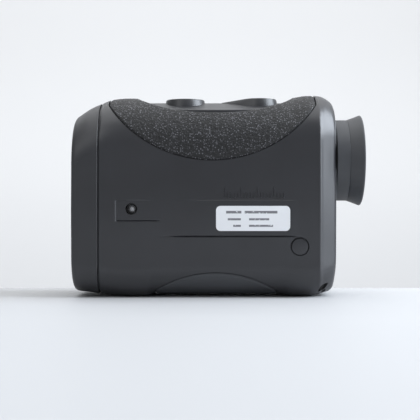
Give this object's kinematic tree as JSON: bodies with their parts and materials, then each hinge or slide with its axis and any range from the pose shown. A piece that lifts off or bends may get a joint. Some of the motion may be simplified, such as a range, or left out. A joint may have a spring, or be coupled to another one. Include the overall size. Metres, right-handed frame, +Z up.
{
  "type": "laser rangefinder",
  "caption": "Hand-held monocular laser rangefinder with a clamshell case, front bezel, rubber grip, top buttons, turning diopter eyepiece and hinged battery door.",
  "frame": {"origin": "centre of the box's footprint, at the height of the flat feet", "axes": "+X along the optical axis towards the eyepiece, +Z up, -Y the side with the label"},
  "size_m": [0.109, 0.0421, 0.0763],
  "materials": {
    "case_polymer": "satin moulded charcoal",
    "bezel_polymer": "satin moulded charcoal",
    "grip_rubber": "pebbled black rubber",
    "smooth_rubber": "smooth dark rubber",
    "button_rubber": "moulded silicone",
    "label_film": "white satin film",
    "steel": "plain steel",
    "black_aluminium": "black anodised",
    "coated_glass": "coated optical glass",
    "circuit_board": "solder mask",
    "black_epoxy": "moulded epoxy",
    "copper": "copper winding",
    "gold_plate": "plated",
    "polyimide": "amber film",
    "battery_sleeve": "printed sleeve",
    "nylon": "filled nylon"
  },
  "bodies": {
    "housing_body": {"left_housing": "case_polymer", "right_housing": "case_polymer", "front_bezel": "bezel_polymer", "front_seal": "smooth_rubber", "top_grip": "grip_rubber", "bottom_grip": "smooth_rubber", "control_panel": "case_polymer", "power_switch": "black_epoxy", "mode_switch": "black_epoxy", "button_board": "circuit_board", "button_ribbon": "polyimide", "display_ribbon": "polyimide", "rating_label": "label_film", "screw_plug": "case_polymer", "side_screw_front": "steel", "side_screw_upper": "steel", "side_screw_lower": "steel", "side_screw_rear": "steel", "objective_barrel": "black_aluminium", "objective_crown_lens": "coated_glass", "objective_flint_lens": "coated_glass", "objective_retainer": "black_aluminium", "receiver_barrel": "black_aluminium", "receiver_lens": "coated_glass", "receiver_retainer": "black_aluminium", "apd_detector": "gold_plate", "apd_board": "circuit_board", "lens_bulkhead": "nylon", "prism_housing": "black_aluminium", "roof_prism": "coated_glass", "splitter_prism": "coated_glass", "laser_diode": "gold_plate", "laser_board": "circuit_board", "reticle_display": "coated_glass", "eyepiece_tube": "black_aluminium", "main_board": "circuit_board", "processor_chip": "black_epoxy", "laser_transformer": "copper", "pulse_capacitor": "battery_sleeve", "board_screw_front": "steel", "board_screw_rear": "steel", "battery": "battery_sleeve", "battery_holder": "nylon", "battery_spring": "steel", "door_hinge_pin": "steel"},
    "power_button_body": {"power_button": "button_rubber", "power_switch_plunger": "button_rubber"},
    "mode_button_body": {"mode_button": "button_rubber", "mode_switch_plunger": "button_rubber"},
    "diopter_body": {"diopter_ring": "nylon", "eyecup": "smooth_rubber"},
    "ocular_body": {"ocular_barrel": "black_aluminium", "ocular_retainer": "black_aluminium", "eye_lens": "coated_glass", "field_lens": "coated_glass", "focus_pin": "steel"},
    "battery_door_body": {"battery_door": "case_polymer", "door_seal": "smooth_rubber", "door_contact": "gold_plate"}
  },
  "joints": [
    {"name": "power_button_press", "type": "slide", "parent": "housing_body", "child": "power_button_body", "axis": [0, 0, -1], "range_m": [0, 0.0006], "stiffness_N_per_m": 2500},
    {"name": "mode_button_press", "type": "slide", "parent": "housing_body", "child": "mode_button_body", "axis": [0, 0, -1], "range_m": [0, 0.0006], "stiffness_N_per_m": 2500},
    {"name": "diopter_turn", "type": "hinge", "parent": "housing_body", "child": "diopter_body", "pos_m": [0.0448, 0, 0.0515], "axis": [1, 0, 0], "range_deg": [-60.5, 60.5]},
    {"name": "ocular_slide", "type": "slide", "parent": "housing_body", "child": "ocular_body", "axis": [1, 0, 0], "range_m": [-0.0012, 0.0012]},
    {"name": "battery_door_swing", "type": "hinge", "parent": "housing_body", "child": "battery_door_body", "pos_m": [0.043, 0, 0.0104], "axis": [0, 1, 0], "range_deg": [0, 95]}
  ],
  "couplings": [
    {"joint": "diopter_turn", "follows": "ocular_slide", "rad_per_m": 872.66}
  ]
}
